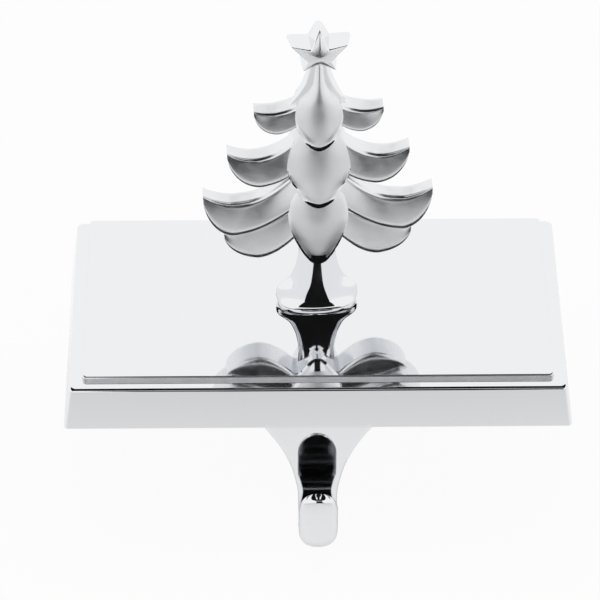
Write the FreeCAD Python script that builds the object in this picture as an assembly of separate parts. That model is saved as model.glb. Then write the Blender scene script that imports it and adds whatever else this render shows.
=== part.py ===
import FreeCAD, Part
import math
import os
from FreeCAD import Vector

# Mantel stocking holder: a stepped plinth that stands on the shelf, a hook cast in one with its front
# skirt, and a Christmas tree casting screwed on top. Millimetres, +Z up, -Y is the front with the hook.
# The origin is the middle of the plinth's plan, on the shelf: z = 0 is the underside of the felt.

# Plinth
base_width = 140.0
base_depth = 69.0
ledge_height = 13.8
panel_rise = 1.4
ledge_width = 3.6
skirt_flare = 1.9
corner_round = 1.2
ledge_round = 0.8
panel_corner_round = 1.0
panel_round = 0.35
skirt_wall = 3.0
top_wall = 3.4
rib_thickness = 2.4
rib_spacing = 66.0

# Felt under the plinth
felt_thickness = 2.0
felt_proud = 0.6
felt_side_play = 0.2
rim_lip = 1.4
felt_seat = 1.6
front_wall_spare = 0.4

# Hook
hook_thickness = 3.3
hook_width = 10.9
hook_gap = 10.5
hook_drop = 38.4
tongue_height = 24.0
tongue_tip_length = 5.0
tongue_edge = 0.9
tongue_tip_thickness = 1.3
hook_root_width = 29.8
hook_flat_crown = 0.05

# Tree
tree_setback = 1.8
tree_turn = 3.0
foot_half_width = 11.4
foot_half_depth = 5.8
foot_rim_height = 1.4
foot_round = 0.4
trunk_half_width = 5.1
trunk_half_depth = 3.3
trunk_height = 19.3
bough_start = 4.0
bough_tip_depth = 2.2
bough_tip_height = 0.5
bough_crease_share = 0.87
star_height = 92.2
star_radius = 7.7
star_tip_round = 0.9
star_inner_share = 0.46
star_half_depth = 2.0
star_facet_radius = 6.7
star_facet_rise = 0.9

# Fixing screw, washer and their holes
screw_radius = 2.0
screw_engagement = 8.6
screw_head_radius = 4.0
screw_head_height = 2.8
screw_head_round = 0.7
screw_recess_width = 0.9
screw_recess_reach = 2.2
screw_recess_depth = 1.5
thread_play = 0.03
hole_play = 0.25
bore_spare = 1.6
washer_radius = 4.6
washer_thickness = 0.8
boss_drop = 2.6
boss_wall = 2.9

# Heights and places worked out from the sizes above
skirt_foot = felt_proud
felt_top = felt_thickness
panel_top = ledge_height + panel_rise
hollow_top = panel_top - top_wall
boss_foot = hollow_top - boss_drop
front_face = -base_depth / 2
back_face = base_depth / 2
front_wall = hook_thickness + felt_side_play + felt_seat + front_wall_spare
hook_bend_height = hook_gap / 2 + hook_thickness - hook_drop
hole_radius = screw_radius + hole_play
screw_length = washer_thickness + boss_drop + top_wall + screw_engagement

# Edge of the hook's flat part, from the strip up to the skirt: share of the way out, share of the way up
hook_root_curve = [(0, 0), (0.01, 0.16), (0.1, 0.32), (0.21, 0.48),
                   (0.36, 0.62), (0.55, 0.76), (0.8, 0.9), (1, 1)]

# Bell and flare of the trunk, from the rim up: share of the trunk's height, share of the foot's overhang
flare_curve = [(0.06, 0.93), (0.12, 0.985), (0.18, 0.97), (0.235, 0.84), (0.29, 0.61), (0.38, 0.42),
               (0.52, 0.26), (0.72, 0.1), (1.0, 0.0)]

# The tables of the tree are in hundredths of the star's height, so that the tree keeps its form at any
# size. Places are distances from the centre line, and heights are above the tree's foot.
tree_unit = star_height / 100

# Tree boughs, one row for each pair, lowest last, each point as (place, height): the upper edge's root,
# its lowest dip, the tip, the lower edge's lowest point and where it leaves the petals. The last value is
# half the bough's depth.
boughs = [
    dict(root=(7.81, 78.31), dip=(13.56, 76.57), tip=(18.76, 77.11),
         low=(11.93, 69.41), join=(6.83, 71.58), depth=3.8),
    dict(root=(6.29, 66.7), dip=(17.68, 59.44), tip=(26.68, 61.82),
         low=(16.92, 49.57), join=(8.89, 52.71), depth=4.23),
    dict(root=(10.52, 49.02), dip=(23.75, 42.3), tip=(33.95, 45.44),
         low=(24.84, 30.8), join=(8.68, 39.05), depth=4.23),
    dict(root=(6.51, 36.44), dip=(17.35, 31.24), tip=(27.98, 29.93),
         low=(17.14, 21.26), join=(7.05, 28.52), depth=4.01),
]

# Tree petals, one row each, from the top: the right half of the outline from its tip upwards, the height
# where it is fullest, how far it stands out of the tree's middle plane there, at its tip and at its root,
# and how much wider than deep its round is.
petals = [
    dict(edge=[(0, 64.53), (3.58, 67.46), (6.18, 71.8), (6.94, 76.14),
               (5.86, 80.48), (3.15, 84.6), (1.63, 88.39), (0.87, 97.07)],
         full_height=74.84, crown=6.29, tip_depth=4.66, root_depth=2.06, spread=1.42),
    dict(edge=[(0, 42.95), (4.01, 45.88), (7.81, 51.41), (9.22, 55.97),
               (8.35, 62.36), (6.07, 68.11), (3.25, 71.58)],
         full_height=55.31, crown=6.83, tip_depth=5.21, root_depth=4.01, spread=1.68),
    dict(edge=[(0, 19.85), (3.47, 22.78), (6.83, 28.85), (8.89, 37.96),
               (8.13, 43.38), (6.29, 47.51), (3.25, 50.43)],
         full_height=35.79, crown=7.05, tip_depth=5.42, root_depth=4.23, spread=1.62),
]

# Height, half width and half depth of the core behind the petals and of the cone that carries the star
core_sections = [
    (33.62, 5.86, 3.58),
    (52.06, 6.62, 3.69),
    (67.25, 6.07, 3.58),
    (79.18, 5.86, 3.47),
]
cone_sections = [
    (77.01, 8.03, 3.8),
    (80.69, 7.16, 3.58),
    (84.6, 5.42, 3.25),
    (88.94, 3.9, 2.82),
    (93.28, 3.04, 2.39),
    (98.7, 2.6, 2.06),
]


def at_tree_size(value):
    """A value, point, list or row of the tree's tables, in mm."""
    if isinstance(value, dict):
        return {name: part if name == "spread" else at_tree_size(part) for name, part in value.items()}
    if isinstance(value, (list, tuple)):
        return [at_tree_size(part) for part in value]
    return value * tree_unit


def rectangle(left, right, front, back, height):
    corners = [(left, front), (right, front), (right, back), (left, back), (left, front)]
    return Part.makePolygon([Vector(x, y, height) for x, y in corners])


def upright_edges(shape):
    found = []
    for edge in shape.Edges:
        if len(edge.Vertexes) == 2:
            direction = edge.Vertexes[1].Point - edge.Vertexes[0].Point
            if abs(direction.z) > 0.8 * direction.Length:
                found.append(edge)
    return found


def edges_at_height(shape, height):
    return [edge for edge in shape.Edges
            if abs(edge.BoundBox.ZMin - height) < 1e-4 and abs(edge.BoundBox.ZMax - height) < 1e-4]


def plinth_block():
    """The outer form: a skirt that leans in on the front and both sides, and stands straight at the back."""
    half = base_width / 2
    foot = rectangle(-half, half, front_face, back_face, skirt_foot)
    shoulder_half = half - skirt_flare
    shoulder = rectangle(-shoulder_half, shoulder_half, front_face + skirt_flare, back_face, ledge_height)
    skirt = Part.makeLoft([foot, shoulder], True, True)
    skirt = skirt.makeFillet(corner_round, upright_edges(skirt))
    rim = [edge for edge in edges_at_height(skirt, ledge_height)
           if edge.BoundBox.YMin < back_face - corner_round]
    skirt = skirt.makeFillet(ledge_round, rim)
    inset = skirt_flare + ledge_width
    panel = Part.makeBox(base_width - 2 * inset, base_depth - inset, panel_rise + ledge_round,
                         Vector(inset - half, front_face + inset, ledge_height - ledge_round))
    panel = panel.makeFillet(panel_corner_round, upright_edges(panel))
    panel = panel.makeFillet(panel_round, edges_at_height(panel, panel_top))
    return skirt.fuse(panel)


def plinth_hollow():
    """The space under the panel, drafted with the skirt, and the shallow recess that the felt sits in."""
    half = base_width / 2
    lean = skirt_flare * (hollow_top - skirt_foot) / (ledge_height - skirt_foot)
    low_half = half - skirt_wall
    front = front_face + front_wall
    back = back_face - skirt_wall
    low = rectangle(-low_half, low_half, front, back, skirt_foot)
    high_half = low_half - lean
    high = rectangle(-high_half, high_half, front + lean, back, hollow_top)
    hollow = Part.makeLoft([low, high], True, True)
    for side in (-1, 1):
        rib = Part.makeBox(rib_thickness, base_depth, hollow_top,
                           Vector(side * rib_spacing / 2 - rib_thickness / 2, front_face, 0))
        hollow = hollow.cut(rib)
    boss = Part.makeCylinder(hole_radius + boss_wall, boss_drop, Vector(0, tree_setback, boss_foot))
    return hollow.cut(boss)


def felt_block(play, foot, top):
    side = base_width / 2 - rim_lip - play
    front = front_face + front_wall - felt_seat - felt_side_play + play
    back = back_face - rim_lip - play
    return Part.makeBox(2 * side, back - front, top - foot, Vector(-side, front, foot))


def hook_plate():
    """The flat part of the hook: concave sides that run out of the skirt's foot and narrow to the strip."""
    half_strip = hook_width / 2
    spread = hook_root_width / 2 - half_strip
    drop = skirt_foot - hook_bend_height
    side = [Vector(half_strip + spread * share_out, front_face, hook_bend_height + drop * share_up)
            for share_out, share_up in hook_root_curve]
    curve = Part.BSplineCurve()
    curve.interpolate(side, InitialTangent=Vector(0, 0, 1), FinalTangent=Vector(0.5, 0, 0.87))
    right = curve.toShape()
    left = right.mirror(Vector(0, 0, 0), Vector(1, 0, 0))
    root = Part.makeLine(side[-1], Vector(-side[-1].x, front_face, skirt_foot))
    strip = Part.makeLine(Vector(-half_strip, front_face, hook_bend_height), side[0])
    outline = Part.Wire(Part.__sortEdges__([right, root, left, strip]))
    return Part.Face(outline).extrude(Vector(0, hook_thickness, 0))


def hook_section(inner, outward, half_width, thickness, edge):
    """One cross-section of the bent strip: flat inside, crowned outside."""
    across = Vector(half_width, 0, 0)
    low_left = inner - across
    low_right = inner + across
    high_left = low_left + outward * edge
    high_right = low_right + outward * edge
    lines = [
        Part.makeLine(low_left, low_right),
        Part.makeLine(low_right, high_right),
        Part.Arc(high_right, inner + outward * thickness, high_left).toShape(),
        Part.makeLine(high_left, low_left),
    ]
    return Part.Wire(lines)


def hook_bend():
    """The strip bends forward and up, and its outer face grows a crown on the way."""
    radius = hook_gap / 2
    centre = Vector(0, front_face - radius, hook_bend_height)
    flat_edge = hook_thickness - hook_flat_crown
    sections = []
    for step in range(7):
        turn = math.radians(30 * step)
        outward = Vector(0, math.cos(turn), -math.sin(turn))
        edge = flat_edge + (tongue_edge - flat_edge) * (1 - math.cos(turn)) / 2
        inner = centre + outward * radius
        sections.append(hook_section(inner, outward, hook_width / 2, hook_thickness, edge))
    return Part.makeLoft(sections, True, False)


def hook_tongue():
    """The upright end in front of the gap, rounded off at its tip in width and in thickness."""
    foot = Vector(0, front_face - hook_gap, hook_bend_height)
    outward = Vector(0, -1, 0)
    straight = tongue_height - hook_gap / 2 - hook_thickness - tongue_tip_length
    half = hook_width / 2
    sections = []
    for share in (0, 0.33, 0.67):
        inner = foot + Vector(0, 0, straight * share)
        sections.append(hook_section(inner, outward, half, hook_thickness, tongue_edge))
    for degrees in (0, 25, 45, 62, 75, 84):
        turn = math.radians(degrees)
        thinning = (hook_thickness - tongue_tip_thickness) * (1 - math.cos(turn))
        thickness = hook_thickness - thinning
        inner = foot + Vector(0, 0, straight + tongue_tip_length * math.sin(turn)) + outward * thinning / 2
        edge = tongue_edge * thickness / hook_thickness
        sections.append(hook_section(inner, outward, half * math.cos(turn), thickness, edge))
    return Part.makeLoft(sections, True, False)


def base():
    block = plinth_block().fuse(hook_plate()).fuse(hook_bend()).fuse(hook_tongue())
    block = block.cut(plinth_hollow())
    block = block.cut(felt_block(0, 0, felt_top))
    hole = Part.makeCylinder(hole_radius, panel_top, Vector(0, tree_setback, boss_foot))
    return block.cut(hole).removeSplitter()


def ellipse_wire(height, half_width, half_depth):
    return Part.Wire(Part.Ellipse(Vector(0, 0, height), half_width, half_depth).toShape())


def ellipse_column(sections):
    return Part.makeLoft([ellipse_wire(*section) for section in sections], True, False)


def trunk():
    """An oval rim, the bell on it, the flare up to the trunk, and the core that runs on behind the petals."""
    rim = Part.Face(ellipse_wire(0, foot_half_width, foot_half_depth)).extrude(Vector(0, 0, foot_rim_height))
    rim = rim.makeFillet(foot_round, edges_at_height(rim, foot_rim_height))
    flare = []
    for share_up, share_out in flare_curve:
        flare.append((
            trunk_height * share_up,
            trunk_half_width + (foot_half_width - trunk_half_width) * share_out,
            trunk_half_depth + (foot_half_depth - trunk_half_depth) * share_out,
        ))
    return rim.fuse(ellipse_column(flare + at_tree_size(core_sections)))


def through_three(first, second, third, place):
    """Height at a place on the parabola through three (place, height) points."""
    total = 0.0
    points = (first, second, third)
    for index, (own, height) in enumerate(points):
        share = 1.0
        for other_index, (other, _) in enumerate(points):
            if other_index != index:
                share *= (place - other) / (own - other)
        total += share * height
    return total


def bough_section(side, place, top, foot, half_depth):
    """A flat top and a flat underside with crisp edges, and full flanks between them."""
    crease = bough_crease_share * half_depth
    flank = (top + foot) / 2
    front_crease = Vector(side * place, -crease, top)
    back_crease = Vector(side * place, crease, top)
    front_foot = Vector(side * place, -crease, foot)
    back_foot = Vector(side * place, crease, foot)
    return Part.Wire([
        Part.makeLine(back_crease, front_crease),
        Part.Arc(front_crease, Vector(side * place, -half_depth, flank), front_foot).toShape(),
        Part.makeLine(front_foot, back_foot),
        Part.Arc(back_foot, Vector(side * place, half_depth, flank), back_crease).toShape(),
    ])


def bough(side, row):
    low_place, low_height = row["low"]
    join_place, join_height = row["join"]
    tip_place, tip_height = row["tip"]
    sections = []
    for share in (1.0, 0.5):
        place = low_place + (bough_start - low_place) * share
        reach = (low_place - place) / (low_place - join_place)
        foot = low_height + (join_height - low_height) * reach ** 1.7
        top = through_three(row["root"], row["dip"], row["tip"], place)
        sections.append(bough_section(side, place, top, foot, row["depth"]))
    for degrees in (0, 30, 52, 70, 81):
        turn = math.radians(degrees)
        place = low_place + (tip_place - low_place) * math.sin(turn)
        top = through_three(row["root"], row["dip"], row["tip"], place)
        foot = tip_height - (tip_height - low_height) * math.cos(turn)
        half_depth = bough_tip_depth + (row["depth"] - bough_tip_depth) * math.cos(turn)
        sections.append(bough_section(side, place, top, min(foot, top - bough_tip_height), half_depth))
    return Part.makeLoft(sections, True, False)


def petal_dome(row):
    """A body of elliptical cross-section whose front and back swell out and curl in again at the tip."""
    low = row["edge"][0][1]
    high = row["edge"][-1][1]
    crown = row["crown"]
    foot_point = Vector(row["tip_depth"], 0, low)
    top_point = Vector(row["root_depth"], 0, high)
    swell = Part.Arc(foot_point, Vector(crown, 0, row["full_height"]), top_point).toShape()
    lines = [
        Part.makeLine(Vector(0, 0, low), foot_point),
        swell,
        Part.makeLine(top_point, Vector(0, 0, high)),
        Part.makeLine(Vector(0, 0, high), Vector(0, 0, low)),
    ]
    dome = Part.Face(Part.Wire(lines)).revolve(Vector(0, 0, 0), Vector(0, 0, 1), 360)
    widen = FreeCAD.Matrix()
    widen.scale(row["spread"], 1, 1)
    return dome.transformGeometry(widen)


def petal(row):
    reach = 2 * row["crown"]
    right = [Vector(across, -reach, height) for across, height in row["edge"]]
    curve = Part.BSplineCurve()
    curve.interpolate(right)
    right_edge = curve.toShape()
    left_edge = right_edge.mirror(Vector(0, 0, 0), Vector(1, 0, 0))
    top = Part.makeLine(right[-1], Vector(-right[-1].x, -reach, right[-1].z))
    outline = Part.Wire(Part.__sortEdges__([right_edge, top, left_edge]))
    slab = Part.Face(outline).extrude(Vector(0, 2 * reach, 0))
    return slab.common(petal_dome(row))


def star_outline(radius, depth):
    points = []
    for corner in range(11):
        turn = math.radians(90 + 36 * corner)
        reach = radius if corner % 2 == 0 else radius * star_inner_share
        points.append(Vector(reach * math.cos(turn), depth, star_height + reach * math.sin(turn)))
    return Part.makePolygon(points)


def star():
    """A thick five-pointed star with rounded tips and a raised, faceted star on each face."""
    body = Part.Face(star_outline(star_radius, -star_half_depth)).extrude(Vector(0, 2 * star_half_depth, 0))
    tips = []
    for edge in body.Edges:
        middle = (edge.Vertexes[0].Point + edge.Vertexes[1].Point) / 2
        reach = math.hypot(middle.x, middle.z - star_height)
        if edge.BoundBox.YLength > star_half_depth and reach > 0.9 * star_radius:
            tips.append(edge)
    body = body.makeFillet(star_tip_round, tips)
    for side in (-1, 1):
        face = star_outline(star_facet_radius, side * star_half_depth)
        peak = Part.Vertex(Vector(0, side * (star_half_depth + star_facet_rise), star_height))
        body = body.fuse(Part.makeLoft([face, peak], True, True))
    return body


def tree():
    casting = trunk().fuse(ellipse_column(at_tree_size(cone_sections)))
    for row in at_tree_size(boughs):
        for side in (-1, 1):
            casting = casting.fuse(bough(side, row))
    for row in at_tree_size(petals):
        casting = casting.fuse(petal(row))
    casting = casting.fuse(star())
    bore = Part.makeCylinder(screw_radius + thread_play, screw_engagement + bore_spare, Vector(0, 0, 0))
    casting = casting.cut(bore)
    casting.rotate(Vector(0, 0, 0), Vector(0, 0, 1), tree_turn)
    casting.translate(Vector(0, tree_setback, panel_top))
    return casting


def tree_screw():
    shank_foot = boss_foot - washer_thickness
    head_foot = shank_foot - screw_head_height
    shank = Part.makeCylinder(screw_radius, screw_length, Vector(0, 0, shank_foot))
    head = Part.makeCylinder(screw_head_radius, screw_head_height, Vector(0, 0, head_foot))
    head = head.makeFillet(screw_head_round, edges_at_height(head, head_foot))
    for length, width in ((screw_recess_reach, screw_recess_width), (screw_recess_width, screw_recess_reach)):
        slot = Part.makeBox(2 * length, 2 * width, screw_recess_depth, Vector(-length, -width, head_foot))
        head = head.cut(slot)
    screw = head.fuse(shank).removeSplitter()
    screw.translate(Vector(0, tree_setback, 0))
    return screw


def screw_washer():
    place = Vector(0, tree_setback, boss_foot - washer_thickness)
    disc = Part.makeCylinder(washer_radius, washer_thickness, place)
    return disc.cut(Part.makeCylinder(screw_radius + hole_play, washer_thickness, place))


def shelf_pad():
    return felt_block(felt_side_play, 0, felt_top)


os.makedirs("parts", exist_ok=True)
for name, make in (("base", base), ("tree", tree), ("tree_screw", tree_screw),
                   ("screw_washer", screw_washer), ("shelf_pad", shelf_pad)):
    shape = make()
    shape.exportStep("parts/" + name + ".step")
    print(name, shape.ShapeType, "solids", len(shape.Solids), "valid", shape.isValid(),
          "volume cm3 %.2f" % (shape.Volume / 1000))
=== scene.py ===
# %% [markdown]
# # A mantel stocking holder in polished and satin chrome
#
# The real thing is two zinc castings, plated with chrome. A stepped plinth stands on the mantel shelf, and
# a hook grows out of its front skirt and hangs down in front of the shelf. A flat, sculpted Christmas tree
# is screwed on top. Chrome has almost no colour of its own: what the eye reads as chrome is the room in it.
# So this lesson spends its effort on three things: clean surfaces with true curvature, crisp rounded edges,
# and a studio around them that has both bright and dark places.
#
# All lengths are written in millimetres and multiplied by MM, because Blender counts in metres.

# %% Load the measured frame
import math
import bmesh
import bpy
from mathutils import Matrix, Vector


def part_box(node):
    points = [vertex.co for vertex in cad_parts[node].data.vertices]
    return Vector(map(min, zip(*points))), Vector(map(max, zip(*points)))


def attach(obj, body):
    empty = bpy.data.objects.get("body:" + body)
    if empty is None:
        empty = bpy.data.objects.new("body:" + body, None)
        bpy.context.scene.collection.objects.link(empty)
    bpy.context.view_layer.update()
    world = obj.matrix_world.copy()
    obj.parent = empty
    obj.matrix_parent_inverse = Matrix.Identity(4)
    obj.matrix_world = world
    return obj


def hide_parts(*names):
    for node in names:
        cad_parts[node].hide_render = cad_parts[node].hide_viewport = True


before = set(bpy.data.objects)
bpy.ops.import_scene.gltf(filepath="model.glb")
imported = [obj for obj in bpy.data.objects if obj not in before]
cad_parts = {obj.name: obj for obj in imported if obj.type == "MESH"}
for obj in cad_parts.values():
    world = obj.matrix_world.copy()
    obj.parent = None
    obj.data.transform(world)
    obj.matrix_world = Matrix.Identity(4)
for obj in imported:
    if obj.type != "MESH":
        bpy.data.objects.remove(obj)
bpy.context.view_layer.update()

MM = 0.001
scene = bpy.context.scene
scene.view_settings.view_transform = "Standard"
base_low, base_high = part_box("base")
tree_low, tree_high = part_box("tree")
pad_low, pad_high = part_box("shelf_pad")
print("tree, mm:", [round((high - low) / MM, 1) for low, high in zip(tree_low, tree_high)])

# %% [markdown]
# ## Helpers
#
# A few small helpers serve the whole lesson. One turns a colour as it is usually written, in sRGB hex, into
# the linear numbers that the renderer counts in. One adds a node with its settings and its links. One welds
# and closes a mesh and makes all its faces point outwards, and one puts a mesh into the scene.

# %% Colour helper
def linear(code):
    """An sRGB hex colour as linear red, green, blue and alpha."""
    channels = [int(code[place:place + 2], 16) / 255 for place in (1, 3, 5)]
    straight = [value / 12.92 if value <= 0.04045 else ((value + 0.055) / 1.055) ** 2.4 for value in channels]
    return straight + [1.0]


# %% Node helper
def add(tree, kind, inputs=None, **settings):
    """A node with its settings. An input takes a plain value, a socket, or a node for its first output."""
    node = tree.nodes.new(kind)
    for name, value in settings.items():
        setattr(node, name, value)
    for socket, value in (inputs or {}).items():
        if isinstance(value, bpy.types.Node):
            value = value.outputs[0]
        if isinstance(value, bpy.types.NodeSocket):
            tree.links.new(value, node.inputs[socket])
        else:
            node.inputs[socket].default_value = value
    return node


# %% Mesh helpers
weld_distance = 0.002 * MM
shortest_edge = 0.001 * MM


def finish_mesh(mesh, smooth_below=35.0):
    """Weld, close and orient a mesh, and shade it smooth except across its sharp edges."""
    shell = bmesh.new()
    shell.from_mesh(mesh)
    bmesh.ops.remove_doubles(shell, verts=shell.verts, dist=weld_distance)
    bmesh.ops.dissolve_degenerate(shell, edges=shell.edges, dist=shortest_edge)
    open_edges = [edge for edge in shell.edges if edge.is_boundary]
    if open_edges:
        bmesh.ops.holes_fill(shell, edges=open_edges, sides=0)
    bmesh.ops.recalc_face_normals(shell, faces=shell.faces)
    shell.to_mesh(mesh)
    leaks = sum(1 for edge in shell.edges if not edge.is_manifold)
    shell.free()
    mesh.shade_smooth()
    mesh.set_sharp_from_angle(angle=math.radians(smooth_below))
    return leaks


def join_meshes(name, meshes):
    """One mesh out of several closed shells."""
    shell = bmesh.new()
    for mesh in meshes:
        shell.from_mesh(mesh)
    joined = bpy.data.meshes.new(name)
    shell.to_mesh(joined)
    shell.free()
    return joined


def make_object(name, data, finishes=()):
    """An object in the scene, with the given finishes added to its mesh."""
    for finish in finishes:
        data.materials.append(finish)
    piece = bpy.data.objects.new(name, data)
    scene.collection.objects.link(piece)
    return piece


# %% [markdown]
# ## Camera
#
# The plinth's ten visible corners fix the camera. It looks down at 44 degrees through a long lens, so far
# edges come out only a little shorter than near ones, and it stands a hair to one side and a hair off level.

# %% Camera values and camera
camera_elevation = math.radians(44.0)
camera_yaw = math.radians(0.842)
camera_roll = math.radians(0.243)
camera_distance = 930.9 * MM
camera_lens_pixels = 3331.0
image_pixels = 600.0
camera_target = Vector((-4.67, 0.0, 16.22)) * MM

forward = Vector((math.sin(camera_yaw) * math.cos(camera_elevation),
                  math.cos(camera_yaw) * math.cos(camera_elevation),
                  -math.sin(camera_elevation)))
level_right = Vector((math.cos(camera_yaw), -math.sin(camera_yaw), 0.0))
level_up = level_right.cross(forward)
right = level_right * math.cos(camera_roll) + level_up * math.sin(camera_roll)
up = level_up * math.cos(camera_roll) - level_right * math.sin(camera_roll)

camera_data = bpy.data.cameras.new("camera")
camera_data.sensor_width = 36.0
camera_data.lens = camera_lens_pixels / image_pixels * camera_data.sensor_width
camera_data.clip_end = 20.0
camera = bpy.data.objects.new("camera", camera_data)
camera.matrix_world = (Matrix.Translation(camera_target - forward * camera_distance)
                       @ Matrix((right, up, -forward)).transposed().to_4x4())
scene.collection.objects.link(camera)
scene.camera = camera
print("lens", round(camera_data.lens, 1), "mm")

# %% [markdown]
# ## Finishes
#
# Both castings carry the same bright chrome plate over nickel. Where the casting was buffed first, the plate
# is a mirror. Where it was blasted first, on the petals and the fronts of the boughs, the same plate looks
# like frosted satin. So all the chromes share one recipe and differ in roughness and in their finest relief:
# one noise lets the roughness wander in soft patches, because no wheel works evenly, and a finer noise gives
# the relief.

# %% Start of a material
def start_material(name, plain):
    """A new material with plain values set on its shader; also its tree, shader and Object coordinates."""
    material = bpy.data.materials.new(name)
    material.use_nodes = True
    tree = material.node_tree
    shader = tree.nodes["Principled BSDF"]
    for socket, value in plain.items():
        shader.inputs[socket].default_value = value
    return material, tree, shader, add(tree, "ShaderNodeTexCoord").outputs["Object"]


# %% Plated metal
def plated_metal(name, colour, gloss, patch, grain=None):
    """The roughness goes from gloss[0] to gloss[1] as the patches go from low to high. Sizes are in mm."""
    material, tree, shader, place = start_material(name, {"Base Color": linear(colour), "Metallic": 1.0})
    patches = add(tree, "ShaderNodeTexNoise", {"Vector": place, "Scale": 1.0 / (patch["size"] * MM),
                                               "Detail": patch["detail"]})
    rough = add(tree, "ShaderNodeMapRange", {"Value": patches, "From Min": patch["low"],
                                             "From Max": patch["high"], "To Min": gloss[0],
                                             "To Max": gloss[1]})
    tree.links.new(rough.outputs["Result"], shader.inputs["Roughness"])
    if grain:
        dents = add(tree, "ShaderNodeTexNoise", {"Vector": place, "Scale": 1.0 / (grain["size"] * MM),
                                                 "Detail": grain["detail"]})
        relief = add(tree, "ShaderNodeBump", {"Height": dents, "Strength": grain["strength"],
                                              "Distance": grain["height"] * MM})
        tree.links.new(relief.outputs["Normal"], shader.inputs["Normal"])
    return material


# %% The chromes
# Buffed, then plated: a mirror with the faintest waviness, as buffing leaves it.
polish = plated_metal("polished chrome plate", "#EEEFF1", (0.025, 0.06),
                      dict(size=14.0, detail=3.0, low=0.35, high=0.75),
                      dict(size=9.0, detail=1.0, strength=1.0, height=0.004))
# Blasted, then plated: a soft sheen that spreads each light over the whole petal. The blast grain is nearer
# 0.1 mm on the real plate and is drawn coarser here, so that it shows.
satin_colour = "#ECEDEF"
blasted = dict(patch=dict(size=3.0, detail=2.0, low=0.3, high=0.7),
               grain=dict(size=0.28, detail=2.0, strength=0.5, height=0.012))
satin = plated_metal("satin chrome plate", satin_colour, (0.34, 0.42), **blasted)
# The fronts of the boughs were blasted more lightly than the petals.
half_satin = plated_metal("half satin chrome plate", satin_colour, (0.19, 0.26), **blasted)
# No buffing wheel reaches the inside corner of the step, so the plate stays dull there.
dull = plated_metal("dull chrome in the corner", satin_colour, (0.27, 0.33), **blasted)
# A darker chrome for the inside of the hook's bend: painted shade for that deep recess. Unlike the other
# chromes it also has a darker colour.
painted_recess_shade = plated_metal("chrome with painted shade in the bend", "#85868A", (0.10, 0.14), **blasted)
print("chromes:", [material.name for material in (polish, satin, half_satin, dull, painted_recess_shade)])

# %% Zinc-plated steel and pressed felt
# A cold-headed screw with a bright bluish plate and fine turning marks.
steel = plated_metal("zinc plated steel", "#C3C8CE", (0.22, 0.4),
                     dict(size=0.6, detail=3.0, low=0.3, high=0.7))


def pressed_felt():
    """Needled polyester felt: short matted fibres that scatter light, with painted shade darkening the hollows
    between them.
    """
    fibre = 0.35 * MM
    material, tree, shader, place = start_material(
        "pressed felt", {"Roughness": 0.95, "Sheen Weight": 0.35, "Sheen Roughness": 0.6})
    fibres = add(tree, "ShaderNodeTexNoise", {"Vector": place, "Scale": 1.0 / fibre, "Detail": 6.0,
                                              "Roughness": 0.7, "Distortion": 1.2})
    # The colour follows the relief noise, so the hollows get painted shade.
    shade = add(tree, "ShaderNodeMix", {"Factor": fibres, "A": linear("#101011"), "B": linear("#2A2A2C")},
                data_type="RGBA")
    tree.links.new(shade.outputs["Result"], shader.inputs["Base Color"])
    relief = add(tree, "ShaderNodeBump", {"Height": fibres, "Strength": 0.8, "Distance": 0.2 * MM})
    tree.links.new(relief.outputs["Normal"], shader.inputs["Normal"])
    return material


felt = pressed_felt()
print("fixings and sheet:", steel.name, "and", felt.name)

# %% [markdown]
# ## Rings into a skin
#
# The plinth, the felt, the tree's foot and the star are all stacks of outlines with the same number of
# points. One helper bridges each outline to the next with quads and caps the two ends. Close to each rounded
# edge the stack has one extra outline on the flat side. It holds the flat face flat, so that a mirror there
# shows straight reflections right up to its edge.

# %% Skin helper
def skin(rings):
    """A closed mesh through a stack of outlines; an outline of one point closes it in a peak."""
    vertices = [point for ring in rings for point in ring]
    faces = []
    start = 0
    for ring, following in zip(rings, rings[1:]):
        upper = start + len(ring)
        count = max(len(ring), len(following))
        for index in range(count):
            after = (index + 1) % count
            if len(ring) == 1:
                faces.append((start, upper + after, upper + index))
            elif len(following) == 1:
                faces.append((start + index, start + after, upper))
            else:
                faces.append((start + index, start + after, upper + after, upper + index))
        start = upper
    if len(rings[0]) > 1:
        faces.append(tuple(range(len(rings[0]))))
    if len(rings[-1]) > 1:
        faces.append(tuple(range(start, start + len(rings[-1]))))
    mesh = bpy.data.meshes.new("skin")
    mesh.from_pydata(vertices, [], faces)
    return mesh


# %% Outlines with rounded corners, and the places round an edge
def arc(degrees):
    """Cosine and sine at each of the given degrees."""
    return [(math.cos(math.radians(turn)), math.sin(math.radians(turn))) for turn in degrees]


def rounded_plan(half, front, back, radius, height, steps=6):
    """A rectangle with rounded corners, seen from above, counter-clockwise."""
    corners = ((half - radius, back - radius, 0), (-half + radius, back - radius, 90),
               (-half + radius, front + radius, 180), (half - radius, front + radius, 270))
    points = []
    for x, y, start in corners:
        for cosine, sine in arc(start + 90.0 * step / steps for step in range(steps + 1)):
            points.append(Vector((x + radius * cosine, y + radius * sine, height)) * MM)
    return points


def quarter_round(radius, steps, first=0):
    """Places round an edge: how far off the face it starts on, and how far off the one it ends on."""
    return [(radius * (1 - cosine), radius * (1 - sine))
            for cosine, sine in arc(90 * step / steps for step in range(first, steps + 1))]


# %% [markdown]
# ## Plinth
#
# The plinth is cast hollow and stands on its rim. The skirt leans in on the front and both sides and is
# straight at the back, where the raised panel is flush with it. Outlines at rising heights follow that form:
# the lean, the rounded shoulder, the ledge. The panel is a slab of its own on top, with a finer round.

# %% Plinth sizes, read from the frame
half_width = base_high[0] / MM
front_face = -base_high[1] / MM
back_face = base_high[1] / MM
panel_top = base_high[2] / MM
panel_rise = 1.4
ledge_height = panel_top - panel_rise
ledge_width = 3.6
skirt_flare = 1.9
skirt_foot = 0.6
print("plinth %.1f x %.1f mm, panel at %.1f mm" % (2 * half_width, back_face - front_face, panel_top))


# %% Skirt with its shoulder and ledge
skirt_corner = 1.2
shoulder_round = 0.8
rim_round = 0.25
felt_play = 0.2
felt_recess_corner = 0.5
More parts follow.
